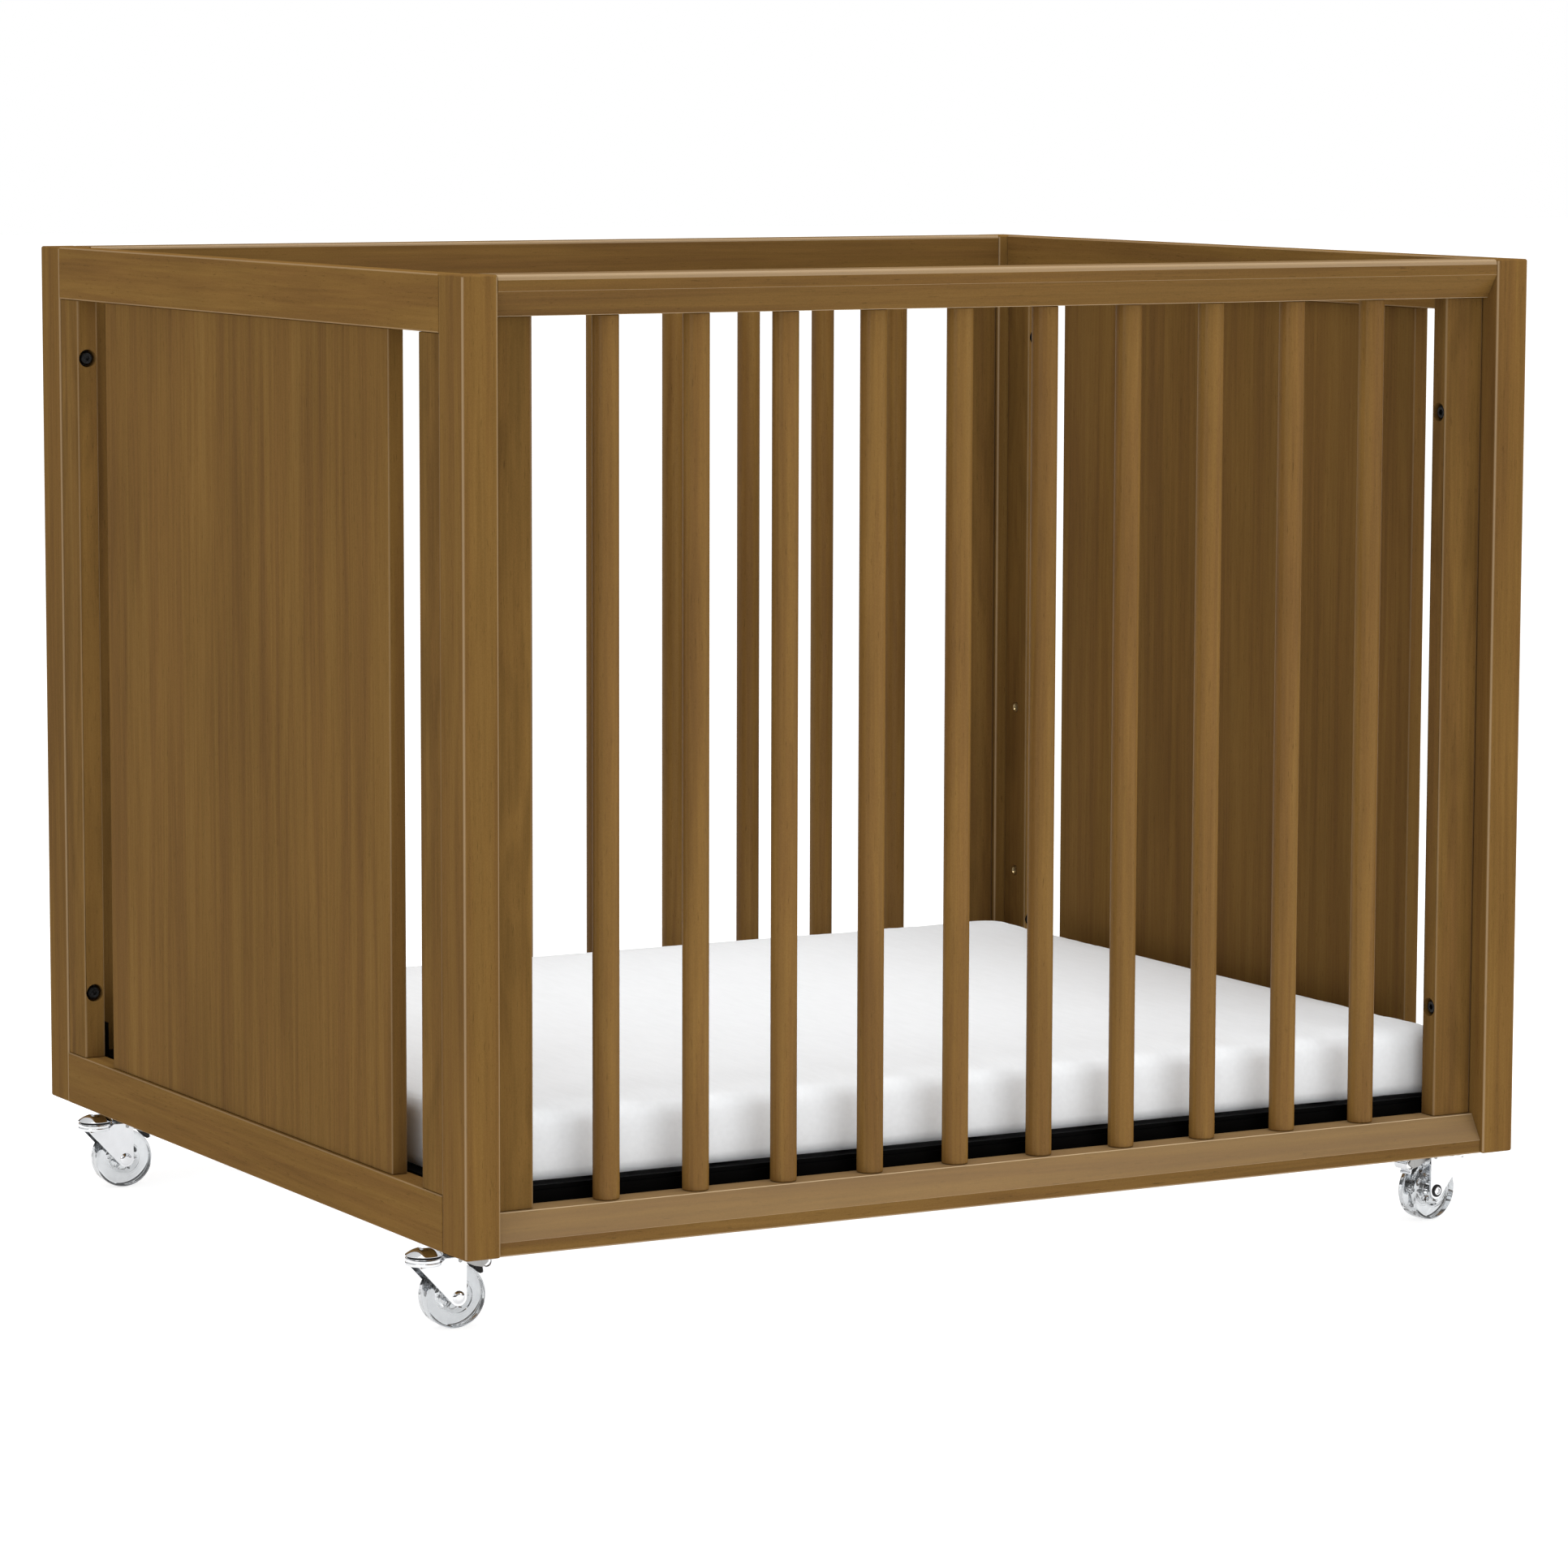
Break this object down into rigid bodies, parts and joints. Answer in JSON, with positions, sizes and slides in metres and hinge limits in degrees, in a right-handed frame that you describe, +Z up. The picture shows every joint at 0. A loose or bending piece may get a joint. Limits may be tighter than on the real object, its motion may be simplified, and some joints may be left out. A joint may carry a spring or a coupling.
{
  "type": "playpen",
  "caption": "Rectangular wooden playpen on swivel casters with slatted sides, solid end panels and a height-adjustable mattress.",
  "frame": {"origin": "on the floor, at the centre of the footprint", "axes": "+X along the length to the right end, +Y from the front to the back, +Z up"},
  "size_m": [1.034, 0.864, 0.8476],
  "materials": {
    "walnut_wood": "satin walnut stain, fine vertical pores",
    "black_steel": "black powder coat",
    "white_sheet": "fitted cotton sheet, fine weave",
    "chrome": "bright chrome",
    "clear_plastic": "clear moulded plastic, polished",
    "brake_metal": "bright zinc",
    "black_oxide": "black bolts, satin",
    "insert_metal": "threaded inserts, zinc over brass",
    "brake_rubber": "matt black brake shoe"
  },
  "bodies": {
    "frame": {"front_left_post": "walnut_wood", "front_right_post": "walnut_wood", "back_left_post": "walnut_wood", "back_right_post": "walnut_wood", "front_top_rail": "walnut_wood", "front_bottom_rail": "walnut_wood", "front_left_stile": "walnut_wood", "front_right_stile": "walnut_wood", "front_slat_01": "walnut_wood", "front_slat_02": "walnut_wood", "front_slat_03": "walnut_wood", "front_slat_04": "walnut_wood", "front_slat_05": "walnut_wood", "front_slat_06": "walnut_wood", "front_slat_07": "walnut_wood", "front_slat_08": "walnut_wood", "front_slat_09": "walnut_wood", "front_slat_10": "walnut_wood", "back_top_rail": "walnut_wood", "back_bottom_rail": "walnut_wood", "back_left_stile": "walnut_wood", "back_right_stile": "walnut_wood", "back_slat_01": "walnut_wood", "back_slat_02": "walnut_wood", "back_slat_03": "walnut_wood", "back_slat_04": "walnut_wood", "back_slat_05": "walnut_wood", "back_slat_06": "walnut_wood", "back_slat_07": "walnut_wood", "back_slat_08": "walnut_wood", "back_slat_09": "walnut_wood", "back_slat_10": "walnut_wood", "left_end_top_rail": "walnut_wood", "left_end_bottom_rail": "walnut_wood", "left_end_panel": "walnut_wood", "left_end_front_stile": "walnut_wood", "left_end_back_stile": "walnut_wood", "right_end_top_rail": "walnut_wood", "right_end_bottom_rail": "walnut_wood", "right_end_panel": "walnut_wood", "right_end_front_stile": "walnut_wood", "right_end_back_stile": "walnut_wood", "caster_front_left_stem": "chrome", "caster_front_right_stem": "chrome", "caster_back_left_stem": "chrome", "caster_back_right_stem": "chrome"},
    "mattress_platform": {"mattress_support": "black_steel", "mattress": "white_sheet"},
    "caster_front_left_swivel": {"caster_front_left_fork": "chrome"},
    "caster_front_left_wheel": {"caster_front_left_wheel": "clear_plastic"},
    "caster_front_left_brake": {"caster_front_left_brake": "brake_metal"},
    "caster_front_right_swivel": {"caster_front_right_fork": "chrome"},
    "caster_front_right_wheel": {"caster_front_right_wheel": "clear_plastic"},
    "caster_front_right_brake": {"caster_front_right_brake": "brake_metal"},
    "caster_back_left_swivel": {"caster_back_left_fork": "chrome"},
    "caster_back_left_wheel": {"caster_back_left_wheel": "clear_plastic"},
    "caster_back_left_brake": {"caster_back_left_brake": "brake_metal"},
    "caster_back_right_swivel": {"caster_back_right_fork": "chrome"},
    "caster_back_right_wheel": {"caster_back_right_wheel": "clear_plastic"},
    "caster_back_right_brake": {"caster_back_right_brake": "brake_metal"}
  },
  "joints": [
    {"name": "platform_height", "type": "slide", "parent": "frame", "child": "mattress_platform", "axis": [0, 0, 1], "range_m": [0, 0.252]},
    {"name": "front_left_swivel", "type": "hinge", "parent": "frame", "child": "caster_front_left_swivel", "pos_m": [-0.5015, -0.343, 0.061], "axis": [0, 0, 1], "continuous": true},
    {"name": "front_left_roll", "type": "hinge", "parent": "caster_front_left_swivel", "child": "caster_front_left_wheel", "pos_m": [-0.4771, -0.34343, 0.0264], "axis": [0.0175, 0.9998, 0], "continuous": true},
    {"name": "front_left_brake", "type": "hinge", "parent": "caster_front_left_swivel", "child": "caster_front_left_brake", "pos_m": [-0.4755, -0.34345, 0.0564], "axis": [0.0175, 0.9998, 0], "range_deg": [-12, 2.5]},
    {"name": "front_right_swivel", "type": "hinge", "parent": "frame", "child": "caster_front_right_swivel", "pos_m": [0.5015, -0.343, 0.061], "axis": [0, 0, 1], "continuous": true},
    {"name": "front_right_roll", "type": "hinge", "parent": "caster_front_right_swivel", "child": "caster_front_right_wheel", "pos_m": [0.47747, -0.34724, 0.0264], "axis": [0.1736, -0.9848, 0], "continuous": true},
    {"name": "front_right_brake", "type": "hinge", "parent": "caster_front_right_swivel", "child": "caster_front_right_brake", "pos_m": [0.4759, -0.34752, 0.0564], "axis": [0.1736, -0.9848, 0], "range_deg": [-12, 2.5]},
    {"name": "back_left_swivel", "type": "hinge", "parent": "frame", "child": "caster_back_left_swivel", "pos_m": [-0.5015, 0.343, 0.061], "axis": [0, 0, 1], "continuous": true},
    {"name": "back_left_roll", "type": "hinge", "parent": "caster_back_left_swivel", "child": "caster_back_left_wheel", "pos_m": [-0.47716, 0.3413, 0.0264], "axis": [0.0698, 0.9976, 0], "continuous": true},
    {"name": "back_left_brake", "type": "hinge", "parent": "caster_back_left_swivel", "child": "caster_back_left_brake", "pos_m": [-0.47556, 0.34119, 0.0564], "axis": [0.0698, 0.9976, 0], "range_deg": [-12, 2.5]},
    {"name": "back_right_swivel", "type": "hinge", "parent": "frame", "child": "caster_back_right_swivel", "pos_m": [0.5015, 0.343, 0.061], "axis": [0, 0, 1], "continuous": true},
    {"name": "back_right_roll", "type": "hinge", "parent": "caster_back_right_swivel", "child": "caster_back_right_wheel", "pos_m": [0.47716, 0.3413, 0.0264], "axis": [0.0698, -0.9976, 0], "continuous": true},
    {"name": "back_right_brake", "type": "hinge", "parent": "caster_back_right_swivel", "child": "caster_back_right_brake", "pos_m": [0.47556, 0.34119, 0.0564], "axis": [0.0698, -0.9976, 0], "range_deg": [-12, 2.5]}
  ]
}
